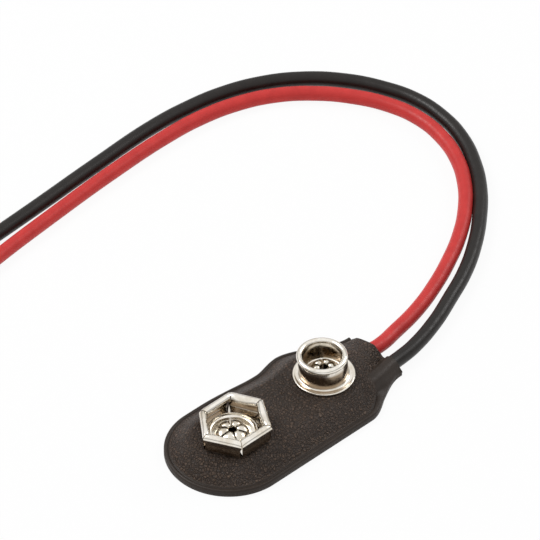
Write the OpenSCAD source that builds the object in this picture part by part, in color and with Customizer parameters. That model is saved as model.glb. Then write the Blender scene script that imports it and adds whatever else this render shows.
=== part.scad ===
// Battery snap connector: a soft vinyl pad with a hollow stud and a six-petal
// spring socket on top, and two stranded leads that leave its tail.
// The origin is midway between the contacts on the pad's underside. +X runs
// from the socket to the stud and the tail, and +Z points out of the contacts.

/* [Contacts] */
// Distance between the centres of the stud and the socket
contact_pitch = 12.7; // [12.3:0.05:13.1]
// Thickness of the plated strip that both contacts are pressed from
metal_t = 0.25; // [0.2:0.01:0.28]

/* [Stud] */
// Height of the stud above the cover
stud_h = 3.0; // [2.8:0.05:3.3]
// Radius over the rolled lip
stud_lip_r = 2.7; // [2.6:0.05:2.85]
// Radius of the tube where it leaves the flange
stud_neck_r = 2.35; // [2.25:0.05:2.45]
// Outer radius of the roll that forms the lip
stud_roll_r = 0.37; // [0.33:0.01:0.4]
// Height of the straight band round the lip
stud_band_h = 0.3; // [0.2:0.05:0.4]
// Radius of the flange that sits on the cover
stud_flange_r = 3.25; // [3.1:0.05:3.4]
// Thickness of the flange at its edge
stud_flange_t = 0.28; // [0.25:0.01:0.35]
// Width of the thinner outer ring of the flange
stud_ring_w = 0.45; // [0.3:0.05:0.5]
// Radius of the fillet between the flange and the tube
stud_fillet_r = 0.25; // [0.15:0.05:0.3]

/* [Socket] */
// Height of the socket above the cover
socket_h = 2.3; // [2.1:0.05:2.6]
// Distance across the flats of the rolled rim
socket_rim_af = 7.3; // [7.1:0.05:7.5]
// Outer radius of the roll along the top of each petal
petal_roll_r = 0.45; // [0.4:0.01:0.48]
// How far the top of a petal leans in from its foot
petal_lean = 0.2; // [0.1:0.02:0.3]
// Width of the slit between two petals
petal_slit = 0.16; // [0.1:0.02:0.24]
// Outer radius of the bend at the foot of each petal
petal_bend_r = 0.36; // [0.32:0.02:0.4]
// Inner radius of the round dish in the socket's floor
dish_r = 2.5; // [2.4:0.05:2.55]
// Depth of the dish
dish_depth = 0.35; // [0.25:0.05:0.45]

/* [Rivets] */
// Radius of a rivet's shank
rivet_r = 0.9; // [0.8:0.05:1]
// Radius of the hole down the rivet
rivet_bore_r = 0.65; // [0.55:0.05:0.7]
// Radius of the head under the solder tag
rivet_head_r = 1.5; // [1.3:0.05:1.7]
// Thickness of the head
rivet_head_t = 0.3; // [0.25:0.01:0.35]
// Lobes that the rivet's mouth splits into when it is clinched
rivet_lobes = 6; // [5:1:7]
// Width of the split between two lobes, in degrees round the rivet
lobe_split = 18; // [12:2:24]
// Gap between the splayed lobes and the fillet inside the stud
lobe_gap = 0.05; // [0.02:0.01:0.1]
// Clearance between a shank and the hole that it passes through
rivet_fit = 0.03; // [0.02:0.01:0.05]

/* [Board and tags] */
// Thickness of the stiff fibre board
board_t = 1.0; // [0.9:0.05:1.2]
// Half width of the board, and the radius of its ends
board_r = 2.6; // [2.4:0.05:2.62]
// Thickness of a solder tag
tag_t = 0.3; // [0.25:0.01:0.35]
// Radius of the ring of a solder tag
tag_ring_r = 1.9; // [1.7:0.05:2.1]
// Width of the tag's ear
tag_ear_w = 1.4; // [1.2:0.05:1.5]
// How far the ear runs on past the centre of its solder joint
tag_past = 0.7; // [0.6:0.05:0.75]
// Gap between the board's edge and the leads that lie beside it
lane_gap = 0.05; // [0.03:0.01:0.1]
// How far the hollow under the cover stays full height past a lead's centre line
flat_past = 0.35; // [0.3:0.05:0.5]

/* [Covers] */
// Thickness of the vinyl back cover
back_t = 0.4; // [0.3:0.02:0.5]
// Thickness of the grained vinyl top cover
cover_t = 0.4; // [0.3:0.02:0.5]
// Width of the covers outside the lane that a lead takes beside the board
side_w = 2.35; // [2.15:0.05:2.6]
// Angle at which each long side closes towards the stud
pad_taper = 1.5; // [0.5:0.25:2]
// Half width of the tail
tail_half_w = 3.9; // [3.8:0.05:4.1]
// Distance from the stud's centre to the shoulder where the sides turn in
shoulder_run = 0.85; // [0.5:0.05:1]
// Distance from the shoulder to where the tail is straight
neck_run = 5.8; // [5.4:0.1:6]
// Distance from the stud's centre to the middle of the tail's end
tail_run = 6.95; // [6.8:0.05:7.2]
// How far the tail's two corners stand past the middle of its end
tail_tip = 0.6; // [0.4:0.05:0.7]
// Width of the heat-sealed band round the edge
seal_w = 0.8; // [0.7:0.05:0.9]
// Depth of the line pressed along the inside of the sealed band
seal_line_depth = 0.1; // [0.05:0.01:0.12]

/* [Leads] */
// Diameter over a lead's insulation
lead_d = 1.6; // [1.5:0.05:1.65]
// Diameter of a lead's stranded core
core_d = 0.76; // [0.6:0.02:0.8]
// Length of tinned core at a lead's free end
tip_len = 6; // [4:0.5:8]
// Distance from a contact's centre to where its lead's insulation ends
lead_stop = 1.95; // [1.7:0.05:2.2]
// How far the bare core runs on past its solder joint's centre
core_past = 0.85; // [0.8:0.05:1]
// Radius of the solder dome on a tag's ear
solder_r = 0.78; // [0.7:0.02:0.8]
// Clearance round a lead in its tunnel
lead_fit = 0.03; // [0.02:0.01:0.05]

/* [Hidden] */

stud_x = contact_pitch / 2;
socket_x = -contact_pitch / 2;
lead_r = lead_d / 2;
core_r = core_d / 2;
round_fn = 96;
small_fn = 48;
// How far a cut runs on past what it cuts
cut_past = 1;

// Heights of the stack that each rivet clamps, from the back cover up
head_z = back_t;
tag_z = head_z + rivet_head_t;
board_z = tag_z + tag_t;
ceiling_z = board_z + board_t;
pad_z = ceiling_z + cover_t;

// Places of a lead's centre inside the pad, and its height on the bench
lane_y = board_r + lane_gap + lead_r;
tag_reach = lane_y + tag_past;
// Radius of the pad's round end, about the socket
pad_end_r = lane_y + lead_r + side_w;
inside_z = back_t + lead_fit + lead_r;
bench_z = lead_r;
solder_film = 0.05;
core_z = board_z + solder_film + core_r;

// Each point is x, y and how far the lead is lifted: 1 inside the pad, 0 on the bench
red_route = [
    [socket_x + lead_stop, lane_y, 1], [-1.3, lane_y, 1], [1.8, lane_y, 1],
    [4.8, lane_y, 1], [7.5, 3.4, 1],
    [9.3, 2.45, 1], [11.1, 1.45, 1], [13.4, 1, 1], [17, 1.1, 0.2], [21, 1.9, 0], [25, 3.2, 0],
    [28.8, 5, 0], [32.2, 7, 0], [35.4, 9.5, 0], [38.1, 12.4, 0], [40.2, 15.8, 0],
    [41.4, 19.5, 0], [41.6, 23.3, 0], [40.7, 26.9, 0], [38.8, 30.4, 0],
    [36, 33.7, 0], [32.6, 36.3, 0], [28.7, 38, 0], [24.6, 38.9, 0], [20.3, 39.2, 0],
    [16, 39.1, 0], [11.7, 38.9, 0], [7.4, 38.6, 0], [3.1, 38.2, 0], [-1.2, 37.8, 0],
    [-5.5, 37.3, 0], [-9.8, 36.7, 0], [-14, 36, 0], [-18.2, 35.1, 0],
    [-22.4, 34.1, 0], [-26.5, 33, 0], [-30.6, 31.8, 0], [-34.7, 30.5, 0],
    [-38.8, 29.1, 0], [-42.8, 27.6, 0], [-46.8, 26, 0], [-52.7, 23.6, 0]];
black_route = [
    [stud_x + lead_stop, -lane_y, 1], [10, -3.05, 1], [11.7, -2.65, 1],
    [13.4, -2.25, 1], [17, -1.7, 0.2],
    [21, -0.8, 0], [25, 0.8, 0], [28.8, 2.6, 0], [32.4, 4.9, 0], [35.8, 7.7, 0],
    [38.8, 10.8, 0], [41.1, 14.1, 0], [42.8, 17.7, 0], [43.6, 21.6, 0], [43.4, 25.5, 0],
    [42.1, 29.2, 0], [39.8, 33, 0], [36.7, 36.2, 0], [33, 38.6, 0], [28.8, 40.2, 0],
    [24.5, 41, 0], [20.1, 41.3, 0], [15.7, 41.2, 0], [11.3, 40.9, 0], [6.9, 40.6, 0],
    [2.5, 40.3, 0], [-1.9, 40, 0], [-6.3, 39.8, 0], [-10.7, 39.6, 0], [-15, 39.4, 0],
    [-19.3, 39.1, 0], [-23.6, 38.7, 0], [-27.9, 38.2, 0], [-32.1, 37.5, 0],
    [-36.3, 36.6, 0], [-40.4, 35.6, 0], [-44.5, 34.4, 0], [-47.5, 33.4, 0]];
// Points of each route between which its lead is straight in the pad's tail
red_tail = [6, 7];
black_tail = [0, 3];

function lift(route) =
    [for (p = route) [p[0], p[1], bench_z + p[2] * (inside_z - bench_z)]];
function unit(v) = v / norm(v);
// A lead's cut end inside the pad stands square to the row of contacts
function heading(path, i) =
    i == 0 ? [1, 0, 0] : unit(path[min(i + 1, len(path) - 1)] - path[i - 1]);

// Rings of one tube: each stands square to the path, with a flat side down
function ring(centre, along, r, sides) =
    let (across = unit(cross([0, 0, 1], along)), up = cross(along, across))
    [for (k = [0 : sides - 1])
        let (a = (k + 0.5) * 360 / sides)
        centre + r * (cos(a) * across + sin(a) * up)];

// A solid tube of radius r along a path of points
module tube(path, r, sides = 8) {
    n = len(path);
    polyhedron(
        points = [for (i = [0 : n - 1]) each ring(path[i], heading(path, i), r, sides)],
        faces = concat(
            [[for (k = [0 : sides - 1]) k]],
            [for (i = [0 : n - 2], k = [0 : sides - 1])
                let (a = i * sides + k, b = i * sides + (k + 1) % sides)
                [a, a + sides, b + sides, b]],
            [[for (k = [sides - 1 : -1 : 0]) (n - 1) * sides + k]]));
}

// One side of the pad's outline, from the tail to the tip of the round end.
// Each point is x, y and the place on the centre line that its inset heads for.
end_steps = 10;
neck_steps = 7;
tail_x = stud_x + tail_run;
shoulder_x = stud_x + shoulder_run;
function side_y(x) =
    pad_end_r / cos(pad_taper) - (x - socket_x) * tan(pad_taper);
function ease(u) = u * u * (3 - 2 * u);
function neck_point(u) =
    let (x = shoulder_x + u * neck_run,
        y = side_y(x) + ease(u) * (tail_half_w - side_y(x)))
    [x, y, x - (1 - u) * y * tan(pad_taper)];
function end_point(a) =
    [socket_x + pad_end_r * cos(a), pad_end_r * sin(a), socket_x];
half_outline = concat(
    [[tail_x + 2 * tail_tip, tail_half_w, tail_x + 2 * tail_tip]],
    [for (i = [neck_steps : -1 : 0]) neck_point(i / neck_steps)],
    [for (i = [0 : end_steps]) end_point(90 - pad_taper + (90 + pad_taper) * i / end_steps)]);
outline = concat(half_outline,
    [for (i = [len(half_outline) - 2 : -1 : 0])
        [half_outline[i][0], -half_outline[i][1], half_outline[i][2]]]);

// A solid raised from the outline: each step of the profile is inset and height
function inset_point(p, inset, z) =
    let (foot = [p[2], 0], edge = [p[0], p[1]], q = edge + inset * unit(foot - edge))
    [q[0], q[1], z];
module raised(profile) {
    m = len(outline);
    n = len(profile);
    polyhedron(
        points = [for (s = profile, p = outline) inset_point(p, s[0], s[1])],
        faces = concat(
            [[for (i = [0 : m - 1]) i]],
            [for (k = [0 : n - 2], i = [0 : m - 2])
                [k * m + i, (k + 1) * m + i, (k + 1) * m + i + 1, k * m + i + 1]],
            [concat([for (k = [0 : n - 1]) k * m + m - 1],
                [for (k = [n - 1 : -1 : 0]) k * m])],
            [[for (i = [m - 1 : -1 : 0]) (n - 1) * m + i]]));
}

// The shallow hollow curve that the tail's end is cut to
tail_cut_r = (pow(tail_half_w, 2) + pow(tail_tip, 2)) / (2 * tail_tip);
module tail_cut() {
    translate([tail_x + tail_cut_r, 0, -cut_past])
        cylinder(r = tail_cut_r, h = pad_z + 3 * cut_past, $fn = round_fn);
}

seal_top = back_t + cover_t;
slope_w = pad_end_r - seal_w - lane_y - flat_past;
edge_round = 0.18;
line_w = 0.3;
outer_profile = [
    [0, back_t],
    [0, seal_top - edge_round],
    [edge_round, seal_top],
    [seal_w - line_w / 2, seal_top],
    [seal_w, seal_top - seal_line_depth],
    [seal_w + line_w / 2, seal_top + seal_line_depth],
    [seal_w + slope_w * 0.3, seal_top + (pad_z - seal_top) * 0.42],
    [seal_w + slope_w * 0.6, seal_top + (pad_z - seal_top) * 0.8],
    [seal_w + slope_w, pad_z]];
cavity_h = ceiling_z - back_t;
cavity_profile = [
    [seal_w + slope_w * 0.2, back_t],
    [seal_w + slope_w * 0.35, back_t + cavity_h * 0.47],
    [seal_w + slope_w * 0.6, back_t + cavity_h * 0.78],
    [seal_w + slope_w * 0.85, ceiling_z]];
cavity_stop = 2;
cavity_end_x = tail_x - cavity_stop;

module back_cover() {
    color([0.14, 0.12, 0.11]) difference() {
        linear_extrude(back_t) polygon([for (p = outline) [p[0], p[1]]]);
        tail_cut();
    }
}

// An arch over the straight stretch of a lead in the tail, open at the bottom
arch_steps = 10;
module arch(route, stretch, r, back, bottom) {
    from = [route[stretch[0]][0], route[stretch[0]][1]];
    to = [route[stretch[1]][0], route[stretch[1]][1]];
    along = unit(to - from);
    turn = atan2(along[1], along[0]);
    translate([from[0], from[1], 0]) rotate([90, 0, 90 + turn]) translate([0, 0, -back])
        linear_extrude(norm(to - from) + back + 2 * tail_tip)
            polygon(concat([[r, bottom]], arc([0, inside_z], r, 0, 180, arch_steps), [[-r, bottom]]));
}
module lead_arches(r, back, bottom) {
    arch(red_route, red_tail, r, back, bottom);
    arch(black_route, black_tail, r, back, bottom);
}

// Points of an arc from one angle to another
function arc(centre, r, from, to, steps) =
    [for (i = [0 : steps])
        let (a = from + (to - from) * i / steps) centre + r * [cos(a), sin(a)]];

module above(z) {
    translate([-pad_end_r * 3, -pad_end_r * 2, z]) cube([pad_end_r * 6, pad_end_r * 4, pad_z * 2]);
}

module top_cover() {
    color([0.23, 0.2, 0.18]) difference() {
        union() {
            raised(outer_profile);
            lead_arches(lead_r + lead_fit + cover_t, cover_t, back_t);
        }
        tail_cut();
        intersection() {
            raised(cavity_profile);
            translate([-pad_end_r * 3, -pad_end_r, 0])
                cube([pad_end_r * 3 + cavity_end_x, pad_end_r * 2, ceiling_z * 2]);
        }
        lead_arches(lead_r + lead_fit, cut_past, 0);
        for (x = [stud_x, socket_x]) translate([x, 0, 0])
            cylinder(r = rivet_r + rivet_fit, h = pad_z + cut_past, $fn = small_fn);
    }
}

module contact_board() {
    color([0.55, 0.42, 0.3]) translate([0, 0, board_z]) difference() {
        linear_extrude(board_t) {
            translate([stud_x, 0]) circle(board_r, $fn = round_fn);
            translate([socket_x, 0]) circle(board_r, $fn = round_fn);
            square([contact_pitch, board_r * 2], center = true);
        }
        for (x = [stud_x, socket_x]) translate([x, 0, -cut_past])
            cylinder(r = rivet_r + rivet_fit, h = board_t + 2 * cut_past, $fn = small_fn);
    }
}

lip_step = 0.1;
stud_top_r = stud_lip_r - lip_step;
lip_z = stud_h - stud_roll_r;
lip_centre_r = stud_lip_r - stud_roll_r;
ring_rise = 0.06;
flange_top = stud_flange_t + ring_rise;
module stud_terminal() {
    color([0.8, 0.78, 0.75]) translate([stud_x, 0, pad_z]) rotate_extrude($fn = round_fn)
        polygon(concat(
            [[rivet_r + rivet_fit, 0], [stud_flange_r - metal_t / 3, 0]],
            [[stud_flange_r, metal_t / 3], [stud_flange_r, stud_flange_t - metal_t / 3]],
            [[stud_flange_r - metal_t / 3, stud_flange_t]],
            [[stud_flange_r - stud_ring_w, stud_flange_t]],
            [[stud_flange_r - stud_ring_w - ring_rise, flange_top]],
            arc([stud_neck_r + stud_fillet_r, flange_top + stud_fillet_r], stud_fillet_r, 270, 180, 4),
            [[stud_top_r, lip_z - stud_band_h - stud_roll_r / 2]],
            [[stud_lip_r, lip_z - stud_band_h]],
            arc([lip_centre_r, lip_z], stud_roll_r, 0, 180, 10),
            [[lip_centre_r - stud_roll_r, lip_z - stud_band_h / 2]],
            [[stud_top_r - metal_t, lip_z - stud_band_h - stud_roll_r / 2]],
            arc([stud_neck_r - metal_t - stud_fillet_r, metal_t + stud_fillet_r],
                stud_fillet_r, 0, -90, 4),
            [[rivet_r + rivet_fit, metal_t]]));
}

roll_centre_a = socket_rim_af / 2 - petal_roll_r;
roll_z = socket_h - petal_roll_r;
wall_top_a = roll_centre_a - petal_roll_r + metal_t;
foot_a = wall_top_a + petal_lean;
ledge_top = dish_depth + metal_t;
foot_z = dish_depth + petal_bend_r;
curl_end = -105;
arc_steps = 8;

// Section through one petal, from the floor's ledge up the wall and over the roll.
// A six-sided turn makes the flats, so distances to a flat are made corner radii.
petal_section = concat(
    [[dish_r - metal_t, dish_depth]],
    arc([foot_a - petal_bend_r, foot_z], petal_bend_r, -90, 0, 4),
    [[wall_top_a, roll_z]],
    arc([roll_centre_a, roll_z], petal_roll_r - metal_t, 180, curl_end, arc_steps),
    arc([roll_centre_a, roll_z], petal_roll_r, curl_end, 180, arc_steps),
    arc([foot_a - petal_bend_r, foot_z], petal_bend_r - metal_t, 0, -90, 4),
    [[dish_r - metal_t, ledge_top]]);

module socket_terminal() {
    color([0.8, 0.78, 0.75]) translate([socket_x, 0, pad_z]) difference() {
        union() {
            rotate_extrude($fn = 6)
                polygon([for (p = petal_section) [p[0] / cos(30), p[1]]]);
            cylinder(r = dish_r + metal_t, h = dish_depth + metal_t / 2, $fn = round_fn);
        }
        translate([0, 0, metal_t]) cylinder(r = dish_r, h = ledge_top, $fn = round_fn);
        translate([0, 0, -cut_past])
            cylinder(r = rivet_r + rivet_fit, h = metal_t + 2 * cut_past, $fn = small_fn);
        for (i = [0 : 5]) rotate(60 * i) translate([dish_r, -petal_slit / 2, foot_z])
            cube([socket_rim_af, petal_slit, socket_h]);
    }
}

// A hollow rivet: a head under the tag, and a mouth split into lobes that
// roll out onto the contact's floor
floor_z = pad_z + metal_t;
lobe_reach_r = stud_neck_r - metal_t - stud_fillet_r - lobe_gap;
lobe_t = rivet_r - rivet_bore_r;
lobe_centre_r = (lobe_reach_r + rivet_bore_r) / 2;
lobe_roll_r = (lobe_reach_r - rivet_bore_r) / 2;
module rivet() {
    difference() {
        union() {
            translate([0, 0, head_z]) cylinder(r = rivet_head_r, h = rivet_head_t, $fn = small_fn);
            translate([0, 0, head_z]) cylinder(r = rivet_r, h = floor_z - head_z, $fn = small_fn);
        }
        translate([0, 0, head_z - cut_past])
            cylinder(r = rivet_bore_r, h = floor_z + 2 * cut_past, $fn = small_fn);
    }
    for (i = [0 : rivet_lobes - 1]) rotate(i * 360 / rivet_lobes)
        translate([0, 0, floor_z])
            rotate_extrude(angle = 360 / rivet_lobes - lobe_split, $fn = small_fn)
                polygon(concat(
                    arc([lobe_centre_r, 0], lobe_roll_r, 180, 0, 8),
                    arc([lobe_centre_r, 0], lobe_roll_r - lobe_t, 0, 180, 8)));
}

module stud_rivet() {
    color([0.72, 0.7, 0.66]) translate([stud_x, 0, 0]) rivet();
}

module socket_rivet() {
    color([0.72, 0.7, 0.66]) translate([socket_x, 0, 0]) rivet();
}

module solder_tag() {
    translate([0, 0, tag_z]) difference() {
        linear_extrude(tag_t) {
            circle(tag_ring_r, $fn = small_fn);
            translate([-tag_ear_w / 2, 0]) square([tag_ear_w, tag_reach - tag_ear_w / 2]);
            translate([0, tag_reach - tag_ear_w / 2]) circle(tag_ear_w / 2, $fn = small_fn);
        }
        translate([0, 0, -cut_past])
            cylinder(r = rivet_r + rivet_fit, h = tag_t + 2 * cut_past, $fn = small_fn);
    }
}

module stud_solder_tag() {
    color([0.75, 0.68, 0.5]) translate([stud_x, 0, 0]) mirror([0, 1, 0]) solder_tag();
}

module socket_solder_tag() {
    color([0.75, 0.68, 0.5]) translate([socket_x, 0, 0]) solder_tag();
}

// The bare core inside the pad lies along the tag's ear, in its solder dome
module inner_core(contact_x, y) {
    color([0.78, 0.6, 0.42]) translate([contact_x + lead_stop, y, core_z]) rotate([0, -90, 0])
        cylinder(r = core_r, h = lead_stop + core_past, $fn = small_fn);
}

module solder_joint(contact_x, y) {
    color([0.75, 0.76, 0.78]) difference() {
        intersection() {
            translate([contact_x, y, board_z + solder_r / 4])
                sphere(solder_r, $fn = small_fn);
            above(board_z);
        }
        translate([contact_x, y, core_z]) rotate([0, 90, 0])
            cylinder(r = core_r, h = solder_r * 3, center = true, $fn = small_fn);
    }
}

module tinned_tip(route) {
    path = lift(route);
    last = path[len(path) - 1];
    along = heading(path, len(path) - 1);
    color([0.78, 0.78, 0.77]) translate(last) rotate([0, 90, atan2(along[1], along[0])])
        cylinder(r = core_r, h = tip_len, $fn = small_fn);
}

module red_lead() {
    color([0.84, 0.16, 0.14]) tube(lift(red_route), lead_r);
}

module red_inner_core() {
    inner_core(socket_x, lane_y);
}

module red_solder_joint() {
    solder_joint(socket_x, lane_y);
}

module red_tinned_tip() {
    tinned_tip(red_route);
}

module black_lead() {
    color([0.1, 0.1, 0.1]) tube(lift(black_route), lead_r);
}

module black_inner_core() {
    inner_core(stud_x, -lane_y);
}

module black_solder_joint() {
    solder_joint(stud_x, -lane_y);
}

module black_tinned_tip() {
    tinned_tip(black_route);
}

back_cover();
top_cover();
contact_board();
stud_terminal();
stud_rivet();
stud_solder_tag();
socket_terminal();
socket_rivet();
socket_solder_tag();
red_lead();
red_inner_core();
red_solder_joint();
red_tinned_tip();
black_lead();
black_inner_core();
black_solder_joint();
black_tinned_tip();
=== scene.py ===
import math
import bmesh
import bpy
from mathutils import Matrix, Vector


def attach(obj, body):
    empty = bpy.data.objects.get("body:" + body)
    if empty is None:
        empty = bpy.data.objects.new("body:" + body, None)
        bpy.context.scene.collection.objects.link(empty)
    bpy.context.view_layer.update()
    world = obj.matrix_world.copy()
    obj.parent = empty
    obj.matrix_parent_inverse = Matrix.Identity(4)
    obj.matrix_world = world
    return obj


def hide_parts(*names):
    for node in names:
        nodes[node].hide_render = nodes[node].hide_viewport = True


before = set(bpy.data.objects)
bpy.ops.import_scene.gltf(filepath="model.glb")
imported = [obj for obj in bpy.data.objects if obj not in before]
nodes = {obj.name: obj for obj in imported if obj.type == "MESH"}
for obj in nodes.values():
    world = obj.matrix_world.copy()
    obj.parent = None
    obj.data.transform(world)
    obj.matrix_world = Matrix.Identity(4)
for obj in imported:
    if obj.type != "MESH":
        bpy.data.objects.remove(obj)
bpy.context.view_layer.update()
MM = 0.001
STUD_X, SOCKET_X = 6.35, -6.35

# The camera looks from the front left and well above, from far off, as in the
# photograph. The pad lies on a white sheet that runs out of sight.
azimuth, elevation, distance = math.radians(-42.6), math.radians(43.3), 0.9
aim = Vector((0.01465, 0.0172, 0.0))
towards_camera = Vector((math.sin(azimuth) * math.cos(elevation),
                         -math.cos(azimuth) * math.cos(elevation), math.sin(elevation)))
bpy.ops.object.camera_add(location=aim + towards_camera * distance)
camera = bpy.context.object
camera.rotation_euler = (-towards_camera).to_track_quat("-Z", "Y").to_euler()
camera.data.lens = 574.8
camera.data.sensor_width = 36
camera.data.clip_start = 0.01
bpy.context.scene.camera = camera
bpy.context.scene.view_settings.view_transform = "Standard"


def node_material(name, colour, roughness, metallic=0.0):
    """A material with one surface shader, ready for its pattern."""
    material = bpy.data.materials.new(name)
    material.use_nodes = True
    surface = material.node_tree.nodes["Principled BSDF"]
    surface.inputs["Base Color"].default_value = (*colour, 1)
    surface.inputs["Roughness"].default_value = roughness
    surface.inputs["Metallic"].default_value = metallic
    return material, surface


def add_node(material, kind, links=(), **settings):
    """Adds one node; links are pairs of this node's input and what feeds it."""
    node = material.node_tree.nodes.new(kind)
    for key, value in settings.items():
        if key.startswith("in_"):
            node.inputs[key[3:].replace("_", " ")].default_value = value
        else:
            setattr(node, key, value)
    for name, source in links:
        material.node_tree.links.new(source, node.inputs[name])
    return node


def link(material, source, target):
    material.node_tree.links.new(source, target)


def object_noise(material, scale, detail=3.0, roughness=0.55, stretch=None):
    """Noise on the piece's own coordinates, with the scale in features a metre."""
    place = add_node(material, "ShaderNodeTexCoord").outputs["Object"]
    if stretch:
        place = add_node(material, "ShaderNodeMapping", [("Vector", place)], in_Scale=stretch).outputs["Vector"]
    return add_node(material, "ShaderNodeTexNoise", [("Vector", place)], in_Scale=scale,
                    in_Detail=detail, in_Roughness=roughness).outputs["Fac"]


def ramp(material, source, stops):
    """A colour ramp; stops are pairs of place and grey or colour."""
    node = add_node(material, "ShaderNodeValToRGB", [("Fac", source)])
    elements = node.color_ramp.elements
    while len(elements) < len(stops):
        elements.new(0.5)
    for element, (place, value) in zip(elements, stops):
        element.position = place
        element.color = (*value, 1) if isinstance(value, tuple) else (value, value, value, 1)
    return node.outputs["Color"]


def bump(material, surface, height, distance_mm, strength=1.0, under=None):
    links = [("Height", height)] + ([("Normal", under)] if under else [])
    node = add_node(material, "ShaderNodeBump", links, in_Strength=strength, in_Distance=distance_mm * MM)
    link(material, node.outputs["Normal"], surface.inputs["Normal"])
    return node.outputs["Normal"]


def show_on(piece, *materials):
    piece.data.materials.clear()
    for material in materials:
        piece.data.materials.append(material)


sheet_material, sheet_surface = node_material("white_sheet", (0.86, 0.86, 0.86), 0.6)
fibres = object_noise(sheet_material, 900)
link(sheet_material, ramp(sheet_material, fibres, [(0.3, 0.84), (0.7, 0.88)]), sheet_surface.inputs["Base Color"])
glow = add_node(sheet_material, "ShaderNodeEmission", in_Strength=1.0)
ray = add_node(sheet_material, "ShaderNodeLightPath").outputs
seen = add_node(sheet_material, "ShaderNodeMath", operation="MAXIMUM")
link(sheet_material, ray["Is Camera Ray"], seen.inputs[0])
link(sheet_material, ray["Is Transmission Ray"], seen.inputs[1])
seen_or_glossy = add_node(sheet_material, "ShaderNodeMath", operation="MAXIMUM")
link(sheet_material, seen.outputs[0], seen_or_glossy.inputs[0])
link(sheet_material, ray["Is Glossy Ray"], seen_or_glossy.inputs[1])
mostly = add_node(sheet_material, "ShaderNodeMath", operation="MULTIPLY")
link(sheet_material, seen_or_glossy.outputs[0], mostly.inputs[0])
mostly.inputs[1].default_value = 0.93
mixed = add_node(sheet_material, "ShaderNodeMixShader",
                 [("Fac", mostly.outputs[0])])
link(sheet_material, sheet_surface.outputs[0], mixed.inputs[1])
link(sheet_material, glow.outputs[0], mixed.inputs[2])
link(sheet_material, mixed.outputs[0], sheet_material.node_tree.nodes["Material Output"].inputs["Surface"])
bpy.ops.mesh.primitive_plane_add(size=3, location=(0, 0, 0))
white_sheet = bpy.context.object
white_sheet.name = "white_sheet"
show_on(white_sheet, sheet_material)

studio = bpy.data.worlds.new("studio")
studio.use_nodes = True
plain = studio.node_tree.nodes["Background"]
plain.inputs["Color"].default_value = (1, 1, 1, 1)
world_ray = studio.node_tree.nodes.new("ShaderNodeLightPath").outputs
shown = studio.node_tree.nodes.new("ShaderNodeMath")
shown.operation = "MAXIMUM"
shown_too = studio.node_tree.nodes.new("ShaderNodeMath")
shown_too.operation = "MAXIMUM"
studio.node_tree.links.new(world_ray["Is Camera Ray"], shown.inputs[0])
studio.node_tree.links.new(world_ray["Is Glossy Ray"], shown.inputs[1])
studio.node_tree.links.new(shown.outputs[0], shown_too.inputs[0])
studio.node_tree.links.new(world_ray["Is Transmission Ray"], shown_too.inputs[1])
level = studio.node_tree.nodes.new("ShaderNodeMapRange")
level.inputs["To Min"].default_value = 0.55
level.inputs["To Max"].default_value = 1.0
studio.node_tree.links.new(shown_too.outputs[0], level.inputs["Value"])
studio.node_tree.links.new(level.outputs[0], plain.inputs["Strength"])
direction = studio.node_tree.nodes.new("ShaderNodeTexCoord")
upwards = studio.node_tree.nodes.new("ShaderNodeSeparateXYZ")
studio.node_tree.links.new(direction.outputs["Generated"], upwards.inputs[0])
room = studio.node_tree.nodes.new("ShaderNodeValToRGB")
for element, (place, value) in zip([room.color_ramp.elements[0], room.color_ramp.elements[1],
                                    room.color_ramp.elements.new(0.5), room.color_ramp.elements.new(0.8)],
                                   ((0.0, 0.85), (0.12, 0.17), (0.38, 0.3), (0.56, 1.0))):
    element.position = place
    element.color = (value, value, value, 1)
studio.node_tree.links.new(upwards.outputs["Z"], room.inputs["Fac"])
walls = studio.node_tree.nodes.new("ShaderNodeMixRGB")
walls.inputs["Color1"].default_value = (1, 1, 1, 1)
studio.node_tree.links.new(world_ray["Is Glossy Ray"], walls.inputs["Fac"])
studio.node_tree.links.new(room.outputs["Color"], walls.inputs["Color2"])
studio.node_tree.links.new(walls.outputs["Color"], plain.inputs["Color"])
bpy.context.scene.world = studio

for name, place, size, power in (("key_box", (-0.25, 0.45, 0.6), 0.35, 3.2), ("side_box", (0.55, -0.1, 0.4), 0.3, 1.2)):
    bpy.ops.object.light_add(type="AREA", location=place)
    lamp = bpy.context.object
    lamp.name = name
    lamp.data.size = size
    lamp.data.energy = power
    lamp.rotation_euler = (-Vector(place)).to_track_quat("-Z", "Y").to_euler()

# The two leads: stranded copper in a PVC tube, red from the socket's tag and black
# from the stud's. They leave the tail side by side, drop to the bench and run round
# behind the pad in one loose curve.
LEAD_D, LEAD_INSIDE_Z = 1.6, 1.23
red_route = [
    (-4.4, 3.45, 1), (0.2, 3.45, 1), (4.8, 3.45, 1), (6.5, 3.45, 1), (8, 3.08, 1), (9.35, 2.22, 1),
    (10.6, 1.3, 1), (11.9, 0.65, 1), (13.2, 0.32, 1), (15, 0.42, 0.6), (17, 0.88, 0.2), (21, 1.78, 0),
    (25, 3.2, 0), (28.8, 5, 0), (32.2, 7, 0), (35.4, 9.5, 0), (38.1, 12.4, 0), (40.2, 15.8, 0),
    (41.4, 19.5, 0), (41.6, 23.3, 0), (40.7, 26.9, 0), (38.8, 30.4, 0), (36, 33.7, 0),
    (32.6, 36.3, 0), (28.7, 38, 0), (24.6, 38.9, 0), (20.3, 39.2, 0), (11.7, 38.9, 0),
    (3.1, 38.2, 0), (-5.5, 37.3, 0), (-14, 36, 0), (-22.4, 34.1, 0), (-30.6, 31.8, 0),
    (-38.8, 29.1, 0), (-46.8, 26, 0), (-52.7, 23.6, 0)]
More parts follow.
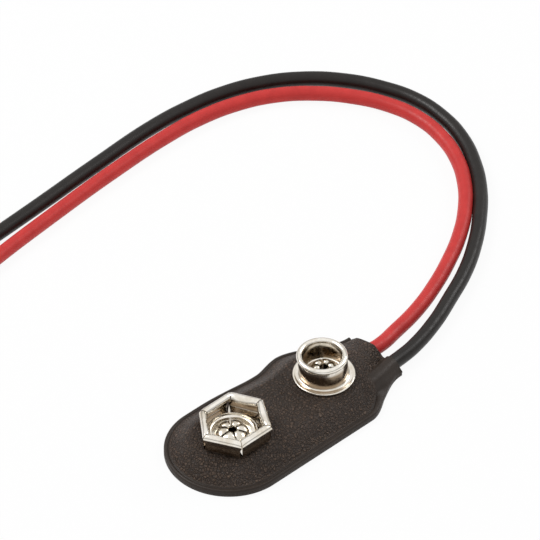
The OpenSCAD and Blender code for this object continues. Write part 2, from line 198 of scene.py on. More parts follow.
black_route = [
    (8.3, -3.45, 1), (11, -3.0, 0.7), (13.6, -2.4, 0.28), (15.4, -2.2, 0.08), (17, -1.98, 0), (21, -0.88, 0),
    (25, 0.8, 0), (28.8, 2.6, 0), (32.4, 4.9, 0), (35.8, 7.7, 0), (38.8, 10.8, 0),
    (41.1, 14.1, 0), (42.8, 17.7, 0), (43.6, 21.6, 0), (43.4, 25.5, 0), (42.1, 29.2, 0),
    (39.8, 33, 0), (36.7, 36.2, 0), (33, 38.6, 0), (28.8, 40.2, 0), (24.5, 41, 0),
    (20.1, 41.3, 0), (11.3, 40.9, 0), (2.5, 40.3, 0), (-6.3, 39.8, 0), (-15, 39.4, 0),
    (-23.6, 38.7, 0), (-32.1, 37.5, 0), (-40.4, 35.6, 0), (-47.5, 33.4, 0)]


def raised_route(route):
    bench = LEAD_D / 2
    return [Vector((x, y, bench + lifted * (LEAD_INSIDE_Z - bench))) * MM for x, y, lifted in route]


def lay_curve(name, points, radius_mm, sides=10):
    """One smooth round tube through the points."""
    bpy.ops.object.select_all(action="DESELECT")
    bpy.ops.curve.primitive_bezier_curve_add(location=(0, 0, 0))
    tube = bpy.context.object
    tube.name = name
    spline = tube.data.splines[0]
    spline.bezier_points.add(len(points) - 2)
    for knot, place in zip(spline.bezier_points, points):
        knot.co = place
        knot.handle_left_type = knot.handle_right_type = "AUTO"
    spline.resolution_u = 10
    tube.data.dimensions = "3D"
    tube.data.bevel_depth = radius_mm * MM
    tube.data.bevel_resolution = sides
    tube.data.use_fill_caps = True
    return tube


def pvc(name, colour, deep, roughness):
    material, surface = node_material(name, colour, roughness)
    tone = object_noise(material, 700, 4)
    link(material, ramp(material, tone, [(0.3, deep), (0.7, colour)]), surface.inputs["Base Color"])
    dull = object_noise(material, 2600, 3)
    link(material, ramp(material, dull, [(0.35, roughness - 0.07), (0.7, roughness + 0.1)]),
         surface.inputs["Roughness"])
    waves = bump(material, surface, object_noise(material, 420, 2), 0.05, 0.5)
    bump(material, surface, object_noise(material, 5200, 2), 0.008, 0.6, waves)
    surface.inputs["Specular IOR Level"].default_value = 0.26
    return material


red_pvc = pvc("red_pvc", (0.6, 0.042, 0.038), (0.5, 0.032, 0.03), 0.4)
black_pvc = pvc("black_pvc", (0.0185, 0.0152, 0.0132), (0.0125, 0.0105, 0.0092), 0.36)
tinned, tinned_surface = node_material("tinned_strand", (0.68, 0.66, 0.63), 0.3, 1.0)
frost = object_noise(tinned, 4200, 3)
link(tinned, ramp(tinned, frost, [(0.3, (0.5, 0.46, 0.4)), (0.7, (0.74, 0.73, 0.71))]), tinned_surface.inputs["Base Color"])
link(tinned, ramp(tinned, frost, [(0.3, 0.22), (0.75, 0.45)]), tinned_surface.inputs["Roughness"])
bump(tinned, tinned_surface, frost, 0.015, 0.7)


def twisted_tip(name, start, along, length_mm=6.0, strand_r=0.125, turns=0.9):
    """Seven strands, six laid round one, stripped and tinned."""
    along = along.normalized()
    side = along.cross(Vector((0, 0, 1))).normalized()
    up = side.cross(along)
    strands = []
    for k in range(7):
        lay_r = 0 if k == 6 else 2 * strand_r
        points = []
        for step in range(13):
            u = step / 12
            turn = math.radians(60 * k) + turns * 2 * math.pi * u
            points.append(start + along * (length_mm * u * MM)
                          + (side * math.cos(turn) + up * math.sin(turn)) * lay_r * MM)
        strands.append(lay_curve(name + "_strand", points, strand_r, 2))
        strands[-1].data.splines[0].resolution_u = 3
    bpy.ops.object.select_all(action="DESELECT")
    for strand in strands:
        strand.select_set(True)
    bpy.context.view_layer.objects.active = strands[0]
    bpy.ops.object.convert(target="MESH")
    bpy.ops.object.join()
    tip = bpy.context.object
    tip.name = name
    bpy.ops.object.transform_apply(location=True, rotation=True, scale=True)
    bpy.ops.object.shade_smooth_by_angle(angle=math.radians(50))
    show_on(tip, tinned)
    return tip


for colour, route, plastic in (("red", red_route, red_pvc), ("black", black_route, black_pvc)):
    points = raised_route(route)
    lead = lay_curve(colour + "_insulation", points, LEAD_D / 2)
    show_on(lead, plastic)
    tip = twisted_tip(colour + "_tip_strands", points[-1] - (points[-1] - points[-2]).normalized() * 0.1 * MM,
                      points[-1] - points[-2])
    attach(lead, "root")
    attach(tip, "root")
    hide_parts(colour + "_lead")
    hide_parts(colour + "_tinned_tip")

# The back cover: one flat sheet of plain soft vinyl, cut to the pad's outline with
# its tail end scooped out a little, and welded to the top cover all round the rim.
SHEET_T, RIM_TOP, PAD_Z = 0.4, 0.8, 2.4
END_X, END_R, HALF_W, END_SHIFT = -6.85, 6.52, {1: 6.62, -1: 6.52}, 0.2
TAIL_X, TAIL_HALF_W, TAIL_TIP, TAIL_SKEW = 13.35, 3.7, 0.25, math.radians(5.5)
NECK = {1: (5.2, 13.2), -1: (7.1, 13.1)}
STRAIGHT_X, TAIL_END_X = 10.0, 13.3
cut_r = (TAIL_HALF_W ** 2 + TAIL_TIP ** 2) / (2 * TAIL_TIP)
cut_centre = (TAIL_X + cut_r * math.cos(TAIL_SKEW), cut_r * math.sin(TAIL_SKEW))


def tail_cut_x(y):
    """Where the scooped tail end stands at a distance y from the centre line."""
    return cut_centre[0] - math.sqrt(cut_r ** 2 - (y - cut_centre[1]) ** 2)


def half_width(x, side):
    """Half the pad's width; the far side, 1, is trimmed a little hollow past the middle."""
    start, stop = NECK[side]
    u = min(max((x - start) / (stop - start), 0), 1)
    waist = 0.6 * math.exp(-((x - 2.3) / (4.0 if x < 2.3 else 2.0)) ** 2) if side > 0 else 0
    waist *= min(max((x - END_X) / 4, 0), 1)
    return HALF_W[side] - waist + u * u * (3 - 2 * u) * (TAIL_HALF_W - HALF_W[side])


def rim_rows(side, tail_rows, side_rows, end_rows):
    """Points along one side of the rim: x, y, the foot on the centre line, tail share."""
    rows = []
    for k in range(tail_rows):
        share = 1 - k / tail_rows
        x = STRAIGHT_X + share * (TAIL_END_X - STRAIGHT_X)
        rows.append((x, half_width(x, side), x, share))
    for k in range(side_rows):
        x = STRAIGHT_X + (END_X - STRAIGHT_X) * k / side_rows
        rows.append((x, half_width(x, side), x, 0))
    for k in range(end_rows + 1):
        angle = math.pi / 2 * (1 + k / end_rows)
        rows.append((END_X + END_R * math.cos(angle), HALF_W[side] * math.sin(angle)
                     - side * END_SHIFT * math.cos(angle), END_X, 0))
    return rows


def rim_point(row, inset, side):
    """A point a given distance in from the rim, heading for the centre line."""
    x, y, foot, share = row
    reach = math.hypot(foot - x, y)
    part = min(inset / reach, 1)
    px, py = x + (foot - x) * part, y * (1 - part) * side
    if share:
        px = STRAIGHT_X + (tail_cut_x(py) - STRAIGHT_X) * share
    return px, py


def vinyl(name, smooth_grey, grained):
    material, surface = node_material(name, smooth_grey, 0.5)
    place = add_node(material, "ShaderNodeTexCoord").outputs["Object"]
    warp = add_node(material, "ShaderNodeTexNoise", [("Vector", place)], in_Scale=2200.0, in_Detail=2.0)
    pushed = add_node(material, "ShaderNodeMixRGB", [("Color1", place), ("Color2", warp.outputs["Color"])],
                      blend_type="LINEAR_LIGHT", in_Fac=0.00024)
    pebbles = add_node(material, "ShaderNodeTexVoronoi", [("Vector", pushed.outputs["Color"])],
                       feature="DISTANCE_TO_EDGE", in_Scale=2900.0)
    fine = object_noise(material, 9000, 4, 0.6)
    cells = ramp(material, pebbles.outputs["Distance"], [(0.0, 0.0), (0.12, 0.6), (0.4, 1.0)])
    wrinkled = ramp(material, object_noise(material, 3000, 3, 0.65, (1, 0.55, 1)), [(0.4, 0.1), (0.58, 1.0)])
    creases = add_node(material, "ShaderNodeMixRGB", [("Color1", cells), ("Color2", wrinkled)],
                       blend_type="MULTIPLY", in_Fac=0.75).outputs["Color"]
    wide = object_noise(material, 900, 3)
    if grained:
        mask = add_node(material, "ShaderNodeAttribute", attribute_name="grain").outputs["Fac"]
        shaped = add_node(material, "ShaderNodeMixRGB", [("Fac", mask), ("Color2", creases)])
        shaped.inputs["Color1"].default_value = (0.72, 0.72, 0.72, 1)
        height = shaped.outputs["Color"]
    else:
        height = ramp(material, pebbles.outputs["Distance"], [(0.0, 0.55), (0.3, 0.75)])
    # The colour follows the grain's height. The valleys are painted up to three times darker as painted shade, and the
    # tops up to twice as light as painted highlight.
    tone = ramp(material, height, [(0.0, tuple(c * 0.3 for c in smooth_grey)), (0.55, smooth_grey),
                                   (1.0, tuple(min(1, c * 2.0) for c in smooth_grey))])
    if grained:
        tone = add_node(material, "ShaderNodeMixRGB", [("Fac", mask), ("Color2", tone)])
        tone.inputs["Color1"].default_value = (0.027, 0.018, 0.0125, 1)
        tone = tone.outputs["Color"]
    tinted = add_node(material, "ShaderNodeMixRGB", [("Color1", tone), ("Color2", ramp(
        material, wide, [(0.3, (0.62, 0.56, 0.52)), (0.7, (1.0, 0.98, 0.96))]))], blend_type="MULTIPLY", in_Fac=0.55)
    link(material, tinted.outputs["Color"], surface.inputs["Base Color"])
    link(material, ramp(material, fine, [(0.3, 0.36), (0.72, 0.62)]), surface.inputs["Roughness"])
    rough = bump(material, surface, height, 0.16, 1.0)
    rough = bump(material, surface, fine, 0.018, 0.9, rough)
    bump(material, surface, wide, 0.06, 0.5, rough)
    surface.inputs["Specular IOR Level"].default_value = 0.3
    return material


plain_vinyl = vinyl("plain_vinyl", (0.028, 0.02, 0.0155), False)
rim = ([rim_point(row, 0, 1) for row in rim_rows(1, 8, 50, 40)]
       + [rim_point(row, 0, -1) for row in reversed(rim_rows(-1, 8, 50, 40)[:-1])])
tail_edge = [(tail_cut_x(y), y) for y in (TAIL_HALF_W * (k / 12 - 1) for k in range(1, 24))]
rim += tail_edge
bpy.ops.object.select_all(action="DESELECT")
bpy.ops.mesh.primitive_circle_add(vertices=len(rim), fill_type="NGON", location=(0, 0, 0))
back_sheet = bpy.context.object
back_sheet.name = "back_sheet"
for corner, (x, y) in zip(back_sheet.data.vertices, rim):
    corner.co = (x * MM, y * MM, 0)
bpy.ops.object.mode_set(mode="EDIT")
bpy.ops.mesh.select_all(action="SELECT")
bpy.ops.mesh.extrude_region_move(TRANSFORM_OT_translate={"value": (0, 0, SHEET_T * MM)})
bpy.ops.mesh.select_all(action="SELECT")
bpy.ops.mesh.normals_make_consistent(inside=False)
bpy.ops.object.mode_set(mode="OBJECT")
soft_edge = back_sheet.modifiers.new("soft_edge", "BEVEL")
soft_edge.width = 0.07 * MM
soft_edge.segments = 3
soft_edge.limit_method = "ANGLE"
soft_edge.angle_limit = math.radians(60)
bpy.ops.object.modifier_apply(modifier="soft_edge")
bpy.ops.object.shade_smooth_by_angle(angle=math.radians(35))
show_on(back_sheet, plain_vinyl)
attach(back_sheet, "root")
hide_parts("back_cover")

# What is sealed inside: the stiff fibre board that holds the contacts apart, the two
# stamped brass tags, and the leads' bare strands soldered to the tags' ears.
fibre, fibre_surface = node_material("fibre_board", (0.27, 0.16, 0.09), 0.75)
felted = object_noise(fibre, 3000, 5, 0.7, (1, 0.25, 1))
link(fibre, ramp(fibre, felted, [(0.3, (0.2, 0.115, 0.062)), (0.7, (0.33, 0.2, 0.12))]), fibre_surface.inputs["Base Color"])
bump(fibre, fibre_surface, felted, 0.03, 0.7)
brass, brass_surface = node_material("tinned_brass", (0.6, 0.52, 0.34), 0.35, 1.0)
rolled = object_noise(brass, 1800, 4, 0.6, (1, 6, 1))
link(brass, ramp(brass, rolled, [(0.3, (0.5, 0.41, 0.24)), (0.7, (0.68, 0.62, 0.46))]), brass_surface.inputs["Base Color"])
link(brass, ramp(brass, rolled, [(0.3, 0.28), (0.7, 0.45)]), brass_surface.inputs["Roughness"])
solder, solder_surface = node_material("solder", (0.6, 0.61, 0.63), 0.3, 1.0)
frozen = object_noise(solder, 2500, 4)
link(solder, ramp(solder, frozen, [(0.3, (0.45, 0.45, 0.46)), (0.7, (0.7, 0.71, 0.73))]), solder_surface.inputs["Base Color"])
link(solder, ramp(solder, frozen, [(0.3, 0.2), (0.7, 0.42)]), solder_surface.inputs["Roughness"])
bump(solder, solder_surface, frozen, 0.03, 0.6)
for name, material in (("contact_board", fibre), ("stud_solder_tag", brass), ("socket_solder_tag", brass),
                       ("red_solder_joint", solder), ("black_solder_joint", solder),
                       ("red_inner_core", tinned), ("black_inner_core", tinned)):
    show_on(nodes[name], material)

# The stud: one deep-drawn pressing of nickel-plated brass, with a flange that lies on
# the vinyl, a hollow tube, and a lip rolled outwards at the top for the spring to grip.
METAL_T, FLANGE_R, NECK_R, LIP_R, LIP_ROLL = 0.25, 3.25, 2.57, 2.67, 0.32
STUD_TOP = 3.0


def arc(centre, r, start, end, steps):
    """Points of an arc in a section; the centre is radius and height."""
    return [(centre[0] + r * math.cos(math.radians(start + (end - start) * k / steps)),
             centre[1] + r * math.sin(math.radians(start + (end - start) * k / steps)))
            for k in range(steps + 1)]


def turned(name, section, centre_x, base_z, steps=128):
    """A closed section of radius and height, spun about an upright axis."""
    bpy.ops.object.select_all(action="DESELECT")
    bpy.ops.mesh.primitive_circle_add(vertices=len(section), fill_type="NOTHING", location=(0, 0, 0))
    piece = bpy.context.object
    piece.name = name
    for corner, (r, z) in zip(piece.data.vertices, section):
        corner.co = ((centre_x + r) * MM, 0, (base_z + z) * MM)
    bpy.ops.object.mode_set(mode="EDIT")
    bpy.ops.mesh.select_all(action="SELECT")
    bpy.ops.mesh.spin(steps=steps, angle=2 * math.pi, center=(centre_x * MM, 0, 0), axis=(0, 0, 1))
    bpy.ops.mesh.select_all(action="SELECT")
    bpy.ops.mesh.remove_doubles(threshold=0.0005 * MM)
    bpy.ops.mesh.normals_make_consistent(inside=False)
    bpy.ops.object.mode_set(mode="OBJECT")
    bpy.ops.object.shade_smooth_by_angle(angle=math.radians(38))
    return piece


# Nickel plate with a random film. Upright faces below painted_shade_top (mm) are painted dark brown, fading out over
# the last 0.35 mm. This is a painted reflection of the dark pad, and painted shade in the stud's tube, under the
# socket's rolls and round the rivets.
def nickel(name, bright, dim, shine, painted_shade_top):
    material, surface = node_material(name, bright, shine, 1.0)
    film = object_noise(material, 600, 4, 0.6)
    plated = ramp(material, film, [(0.25, dim), (0.6, bright)])
    lean = add_node(material, "ShaderNodeSeparateXYZ", [("Vector", add_node(material, "ShaderNodeNewGeometry").outputs["Normal"])])
    upright = add_node(material, "ShaderNodeMath", operation="ABSOLUTE")
    link(material, lean.outputs["Z"], upright.inputs[0])
    wall = ramp(material, upright.outputs[0], [(0.06, 1.0), (0.36, 0.0)])
    height = add_node(material, "ShaderNodeSeparateXYZ", [("Vector", add_node(material, "ShaderNodeTexCoord").outputs["Object"])])
    deep = add_node(material, "ShaderNodeMapRange", [("Value", height.outputs["Z"])], in_From_Min=painted_shade_top * MM,
                    in_From_Max=(painted_shade_top - 0.35) * MM)
    painted_shade_mask = add_node(material, "ShaderNodeMath", operation="MULTIPLY")
    link(material, wall, painted_shade_mask.inputs[0])
    link(material, deep.outputs[0], painted_shade_mask.inputs[1])
    darkened = add_node(material, "ShaderNodeMixRGB", [("Fac", painted_shade_mask.outputs[0]), ("Color1", plated)])
    darkened.inputs["Color2"].default_value = (0.33, 0.25, 0.175, 1)
    link(material, darkened.outputs["Color"], surface.inputs["Base Color"])
    handled = object_noise(material, 2400, 5, 0.65)
    link(material, ramp(material, handled, [(0.35, shine), (0.75, shine + 0.16)]), surface.inputs["Roughness"])
    drawn = bump(material, surface, object_noise(material, 700, 2), 0.02, 0.5)
    bump(material, surface, object_noise(material, 9000, 3, 0.6), 0.0035, 0.6, drawn)
    return material


nickel_plate = nickel("nickel_plate", (0.88, 0.84, 0.77), (0.68, 0.61, 0.5), 0.1, 4.65)
lip_centre = (LIP_R - LIP_ROLL, STUD_TOP - LIP_ROLL)
stud_section = (
    [(0.93, 0), (3.15, 0), (3.22, 0.03), (FLANGE_R, 0.1), (FLANGE_R, 0.2), (3.22, 0.27), (3.15, 0.3), (3.07, 0.295),
     (2.99, 0.26), (2.9, 0.245), (2.82, 0.25)]
    + arc((NECK_R + 0.17, 0.43), 0.17, 262, 184, 8)
    + [(NECK_R, 0.9), (2.565, 1.5), (2.55, 2.1), (2.545, 2.3)]
    + arc(lip_centre, LIP_ROLL, -52, 212, 34)
    + [(2.12, 2.28), (2.2, 2.1), (2.24, 1.6), (2.24, 0.6)]
    + arc((2.02, 0.47), 0.22, 0, -90, 8)
    + [(1.4, METAL_T), (0.93, METAL_T)])
stud = turned("stud_pressing", stud_section, STUD_X, PAD_Z)
for corner in stud.data.vertices:
    risen = max(corner.co.z / MM - PAD_Z - 0.3, 0) / 2.6
    corner.co.x -= 0.16 * risen * MM
    corner.co.y += 0.14 * risen * MM
show_on(stud, nickel_plate)
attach(stud, "root")
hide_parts("stud_terminal")

# The socket: one pressing of springy nickel-plated metal. Its floor is dished round the
# rivet, and six petals stand up from it in a hexagon, each rolled outwards at the top
# and split from the next at the corner, so that they spring apart over a stud.
ROLL_R, RIM_HALF_FLAT, SOCKET_TOP, DISH_R, BEND_R = 0.45, 3.65, 2.3, 2.5, 0.3
roll_centre = (RIM_HALF_FLAT - ROLL_R, SOCKET_TOP - ROLL_R)
WALL_A, FLOOR_Z = 3.5, 0.06


def drawn_across(name, rings):
    """A filled section, extruded face by face through a row of like sections."""
    bpy.ops.object.select_all(action="DESELECT")
    bpy.ops.mesh.primitive_circle_add(vertices=len(rings[0]), fill_type="NGON", location=(0, 0, 0))
    piece = bpy.context.object
    piece.name = name
    bpy.ops.object.mode_set(mode="EDIT")
    cage = bmesh.from_edit_mesh(piece.data)
    loop = list(next(iter(cage.faces)).verts)
    for corner, place in zip(loop, rings[0]):
        corner.co = Vector(place) * MM
    bmesh.update_edit_mesh(piece.data)
    for ring in rings[1:]:
        bpy.ops.mesh.extrude_region()
        cage = bmesh.from_edit_mesh(piece.data)
        loop = list(next(face for face in cage.faces if face.select).verts)
        for corner, place in zip(loop, ring):
            corner.co = Vector(place) * MM
        bmesh.update_edit_mesh(piece.data)
    bpy.ops.mesh.select_all(action="SELECT")
    bpy.ops.mesh.normals_make_consistent(inside=False)
    bpy.ops.object.mode_set(mode="OBJECT")
    return piece


def copied_round(piece, centre_x, count):
    """Turns a piece by half a place, and copies it round an upright axis."""
    copies = [piece]
    bpy.ops.object.mode_set(mode="EDIT")
    bpy.ops.mesh.select_all(action="SELECT")
    bpy.ops.transform.rotate(value=math.pi / count, orient_axis="Z", center_override=(centre_x * MM, 0, 0))
    bpy.ops.object.mode_set(mode="OBJECT")
    for k in range(1, count):
        bpy.ops.object.select_all(action="DESELECT")
        piece.select_set(True)
        bpy.context.view_layer.objects.active = piece
        bpy.ops.object.duplicate()
        twin = bpy.context.object
        bpy.ops.object.mode_set(mode="EDIT")
        bpy.ops.mesh.select_all(action="SELECT")
        bpy.ops.transform.rotate(value=2 * math.pi * k / count, orient_axis="Z",
                                 center_override=(centre_x * MM, 0, 0))
        bpy.ops.object.mode_set(mode="OBJECT")
        copies.append(twin)
    return copies


def joined(name, pieces):
    bpy.ops.object.select_all(action="DESELECT")
    for piece in pieces:
        piece.select_set(True)
    bpy.context.view_layer.objects.active = pieces[0]
    bpy.ops.object.join()
    bpy.context.object.name = name
    return bpy.context.object


petal_section = (
    [(DISH_R, FLOOR_Z + 0.01)]
    + arc((WALL_A - BEND_R, FLOOR_Z + BEND_R), BEND_R, -90, 0, 6)
    + [(WALL_A, 1.0), (WALL_A, 1.3), (WALL_A + 0.02, 1.4), (WALL_A + 0.08, 1.5)]
    + arc(roll_centre, ROLL_R, -28, 255, 34)
    + arc(roll_centre, ROLL_R - METAL_T, 255, -10, 18)
    + [(WALL_A - 0.15, 1.58), (WALL_A - METAL_T + 0.02, 1.45), (WALL_A - METAL_T, 1.3)]
    + arc((WALL_A - BEND_R, FLOOR_Z + BEND_R), BEND_R - METAL_T, 0, -90, 4)
    + [(DISH_R, FLOOR_Z + METAL_T)])


def smooth_fall(high, low, value):
    u = min(max((value - high) / (low - high), 0), 1)
    return u * u * (3 - 2 * u)


rings = []
for step in range(-5, 6):
    share = step / 5
    ring = []
    for apothem, z in petal_section:
        slit = (0.05 + 0.1 * smooth_fall(1.9, 0.9, z)) if z > 0.4 or apothem > 2.9 else 0.0
        along = share * (apothem * math.tan(math.radians(30)) - slit / math.cos(math.radians(30)))
        x = apothem
        if apothem <= DISH_R:
            x, along = DISH_R * math.cos(math.radians(30 * share)), DISH_R * math.sin(math.radians(30 * share))
        edge = max(0, abs(share) - 0.8) / 0.2
        bend = 0.05 * edge ** 2 if z > 1.9 else 0
        ring.append((SOCKET_X + x, along, PAD_Z + z - bend))
    rings.append(ring)
petal = drawn_across("socket_petal", rings)
petals = copied_round(petal, SOCKET_X, 6)
dish = turned("socket_dish", [
    (0.93, 0), (2.5, 0), (2.66, 0.06), (2.74, 0.18), (2.74, 0.33), (2.66, 0.34), (2.6, 0.42), (2.57, 0.56),
    (2.53, 0.598), (2.5, 0.6), (2.46, 0.59), (2.43, 0.55), (2.4, 0.42), (2.34, 0.32), (2.24, 0.265),
    (2.1, METAL_T), (0.93, METAL_T)], SOCKET_X, PAD_Z)
socket = joined("socket_pressing", [dish] + petals)
for corner in socket.data.vertices:
    risen = min(max((corner.co.z / MM - PAD_Z - 0.6) / 1.3, 0), 1)
    far = max(corner.co.y, 0) / (4 * MM)
    outside = math.hypot(corner.co.x / MM - SOCKET_X, corner.co.y / MM) - 2.7
    corner.co.x += (0.1 + 0.35 * far) * min(max(outside / 0.4, 0), 1) * MM
    corner.co.y -= 0.5 * far * risen * MM
bpy.ops.object.shade_smooth_by_angle(angle=math.radians(38))
spring_nickel = nickel("spring_nickel", (0.88, 0.84, 0.77), (0.68, 0.61, 0.5), 0.1, 4.25)
show_on(socket, spring_nickel)
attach(socket, "root")
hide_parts("socket_terminal")

# The two hollow rivets: drawn from thin nickel-plated brass, headed under the tag.
# Each mouth is split six ways, and its lobes are curled out on the contact's floor.
BORE_R, SHANK_R, HEAD_R, LOBE_REACH = 0.65, 0.9, 1.5, 1.9
rivet_nickel = nickel("rivet_nickel", (0.74, 0.7, 0.62), (0.5, 0.43, 0.33), 0.15, 2.9)
floor_z = PAD_Z + METAL_T
lobe_section = (
    [(0.62, -0.5), (0.56, -0.2), (0.47, 0.05), (0.4, 0.28), (0.42, 0.42), (0.52, 0.52), (0.68, 0.57), (0.9, 0.57),
     (1.15, 0.52), (1.4, 0.43), (1.62, 0.3), (1.78, 0.16), (LOBE_REACH, 0.03), (1.84, 0.0), (1.72, 0.03), (1.55, 0.14),
     (1.35, 0.24), (1.12, 0.33), (0.92, 0.37), (0.76, 0.36), (0.68, 0.3), (0.68, 0.15), (0.75, -0.1), (0.86, -0.5)])
for which, centre_x in (("stud", STUD_X), ("socket", SOCKET_X)):
    rise = 0.6 if which == "stud" else 0.0
    rings = []
    for step in range(-5, 6):
        share = step / 5
        ring = []
        for r, z in lobe_section:
            out = min(max((r - 0.4) / (LOBE_REACH - 0.4), 0), 1)
            half = 0.2 + 0.42 * smooth_fall(0, 0.7, out) - 0.14 * out ** 4
            crown = 0.1 * share * share if z > 0.05 else 0
            tuck = 0.1 * share * share * out
            lift = rise * smooth_fall(LOBE_REACH, 0.9, r) if z > -0.4 else 0
            ring.append((centre_x + r - tuck, share * half, floor_z + lift + max(z - crown, -0.5)))
        rings.append(ring)
    lobe = drawn_across("rivet_lobe", rings)
    lobes = copied_round(lobe, centre_x, 6)
    shank = turned("rivet_shank", [
        (BORE_R, 0.4), (1.4, 0.4), (1.47, 0.43), (HEAD_R, 0.5), (HEAD_R, 0.6), (1.47, 0.67), (1.4, 0.7),
        (SHANK_R, 0.7), (SHANK_R, floor_z - 0.02), (0.85, floor_z + 0.02), (0.7, floor_z + 0.02), (BORE_R, floor_z - 0.04)],
        centre_x, 0, 64)
    rivet = joined(which + "_hollow_rivet", [shank] + lobes)
    bpy.ops.object.shade_smooth_by_angle(angle=math.radians(40))
    show_on(rivet, rivet_nickel)
    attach(rivet, "root")
    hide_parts(which + "_rivet")

# The top cover: soft vinyl with a pressed leather grain, drawn hot over the board and
# leads and welded to the back sheet. The welding bar leaves a smooth rim inside a thin
# pressed line, and the vinyl stands up smooth over the black lead.
grained_vinyl = vinyl("grained_vinyl", (0.066, 0.044, 0.031), True)
LINE_IN = 0.44
SLOPE = [(0, 0.6), (0.03, 0.68), (0.08, 0.75), (0.15, 0.79), (0.24, 0.8), (0.32, 0.79), (0.38, 0.755), (LINE_IN, 0.7),
         (0.5, 0.73), (0.56, 0.81), (0.64, 0.88), (0.76, 0.96), (0.95, 1.09), (1.2, 1.29), (1.5, 1.54), (1.8, 1.79),
         (2.1, 2.02), (2.35, 2.19), (2.6, 2.31), (2.8, 2.38)]
MIDDLE_STEPS = 14


def smooth_step(low, high, value):
    u = min(max((value - low) / (high - low), 0), 1)
    return u * u * (3 - 2 * u)


def distance_to_route(route, x, y):
    """Distance from a point to a lead's line inside the pad, and the lead's lift there."""
    best, place = 9.0, 0.0
    for (x0, y0, lift0), (x1, y1, lift1) in zip(route, route[1:]):
        dx, dy = x1 - x0, y1 - y0
        t = min(max(((x - x0) * dx + (y - y0) * dy) / (dx * dx + dy * dy), 0), 1)
        away = math.hypot(x - x0 - t * dx, y - y0 - t * dy)
        if away < best:
            best, place = away, lift0 + t * (lift1 - lift0)
    return best, place


def line_inset(x, side):
    """How far in from the rim the pressed line runs; it turns in round the black lead."""
    return LINE_IN + (0.19 * max(x - 6.8, 0) if side < 0 else 0)


def pad_height(x, y, inset, side):
    """Height of the pad's skin, and how grained it is, at a place."""
    line = line_inset(x, side)
    along = inset * LINE_IN / line if inset < line else inset - line + LINE_IN
    if side > 0 and along > LINE_IN:
        along = LINE_IN + (along - LINE_IN) * (1 + 0.3 * smooth_step(9.5, 12.5, x))
    level = PAD_Z
    for (i0, z0), (i1, z1) in zip(SLOPE, SLOPE[1:]):
        if i0 <= along < i1:
            level = z0 + (z1 - z0) * (along - i0) / (i1 - i0)
    over_black, lifted = distance_to_route(black_route[:5], x, y)
    draped = 2.2 - 1.2 * (abs(y + 0.1) / TAIL_HALF_W) ** 1.7
    level += (min(level, draped) - level) * smooth_step(8.8, 12.3, x)
    film_r = LEAD_D / 2 + 0.15
    lead_z = LEAD_D / 2 + lifted * (LEAD_INSIDE_Z - LEAD_D / 2)
    hump = lead_z + (math.sqrt(film_r ** 2 - over_black ** 2) if over_black < 0.8 * film_r
                     else 0.6 * film_r - 2 * (over_black - 0.8 * film_r))
    blend = max(0.25 - abs(level - hump), 0) / 0.25
    top = max(level, hump) + blend * blend * 0.06
    grain = smooth_step(LINE_IN + 0.1, LINE_IN + 0.25, along)
    if side < 0:
        grain *= 1 - smooth_step(-0.1, 0.1, hump - level) * smooth_step(9, 10, x)
    return top, grain


strip = ([(row, 1) for row in rim_rows(1, 26, 70, 44)]
         + [(row, -1) for row in reversed(rim_rows(-1, 26, 70, 44)[:-1])])
steps_in = len(SLOPE) + MIDDLE_STEPS
bpy.ops.object.select_all(action="DESELECT")
bpy.ops.mesh.primitive_grid_add(x_subdivisions=len(strip) - 1, y_subdivisions=steps_in - 1, location=(0, 0, 0))
cover = bpy.context.object
cover.name = "grained_cover"
grains = []
for index, corner in enumerate(cover.data.vertices):
    column, line = index % len(strip), index // len(strip)
    row, side = strip[column]
    reach = math.hypot(row[2] - row[0], row[1])
    turned_in = line_inset(row[0], side)
    last = SLOPE[-1][0] - LINE_IN + turned_in
    if line < len(SLOPE):
        inset = SLOPE[line][0]
        inset = inset * turned_in / LINE_IN if inset < LINE_IN else inset - LINE_IN + turned_in
        inset = min(inset, reach * 0.98)
    else:
        last = min(last, reach * 0.98)
        inset = last + (reach - last) * (line - len(SLOPE) + 1) / MIDDLE_STEPS
    x, y = rim_point(row, inset, side)
    z, grained = pad_height(x, y, inset, side)
    corner.co = (x * MM, y * MM, z * MM)
    grains.append(grained)
grain_layer = cover.data.attributes.new("grain", "FLOAT", "POINT")
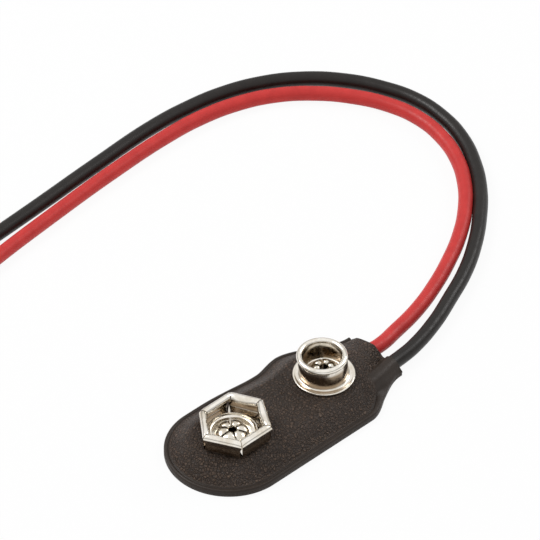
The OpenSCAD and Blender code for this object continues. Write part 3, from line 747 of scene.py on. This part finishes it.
grain_layer.data.foreach_set("value", grains)
bpy.ops.object.mode_set(mode="EDIT")
bpy.ops.mesh.select_all(action="SELECT")
bpy.ops.mesh.remove_doubles(threshold=0.002 * MM)
bpy.ops.mesh.extrude_region_move(TRANSFORM_OT_translate={"value": (0, 0, -0.01 * MM)})
cage = bmesh.from_edit_mesh(cover.data)
for corner in cage.verts:
    if corner.select:
        z = corner.co.z + 0.01 * MM
        hollow = corner.co.x < 10.4 * MM and z > 1.3 * MM
        corner.co.z = max(z - SHEET_T * MM, SHEET_T * MM) if hollow else SHEET_T * MM
bmesh.update_edit_mesh(cover.data)
bpy.ops.mesh.select_all(action="SELECT")
bpy.ops.mesh.normals_make_consistent(inside=False)
bpy.ops.object.mode_set(mode="OBJECT")
cutters = []
for colour, route in (("red", red_route), ("black", black_route)):
    cutters.append(lay_curve(colour + "_tunnel", raised_route(route[:12]), LEAD_D / 2 + 0.05, 8))
bpy.ops.object.select_all(action="DESELECT")
for cutter in cutters:
    cutter.select_set(True)
bpy.context.view_layer.objects.active = cutters[0]
bpy.ops.object.convert(target="MESH")
for centre_x in (STUD_X, SOCKET_X):
    bpy.ops.mesh.primitive_cylinder_add(vertices=48, radius=(SHANK_R + 0.03) * MM, depth=2 * MM,
                                        location=(centre_x * MM, 0, 2.2 * MM))
    cutters.append(bpy.context.object)
for vinyl_sheet, tools in ((cover, cutters), (back_sheet, cutters[1:2])):
    for cutter in tools:
        hole = vinyl_sheet.modifiers.new("hole", "BOOLEAN")
        hole.operation = "DIFFERENCE"
        hole.solver = "EXACT"
        hole.object = cutter
        bpy.context.view_layer.objects.active = vinyl_sheet
        bpy.ops.object.modifier_apply(modifier="hole")
for cutter in cutters:
    bpy.data.objects.remove(cutter)
bpy.ops.object.select_all(action="DESELECT")
cover.select_set(True)
bpy.context.view_layer.objects.active = cover
bpy.ops.object.shade_smooth_by_angle(angle=math.radians(40))
show_on(cover, grained_vinyl)
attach(cover, "root")
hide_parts("top_cover")
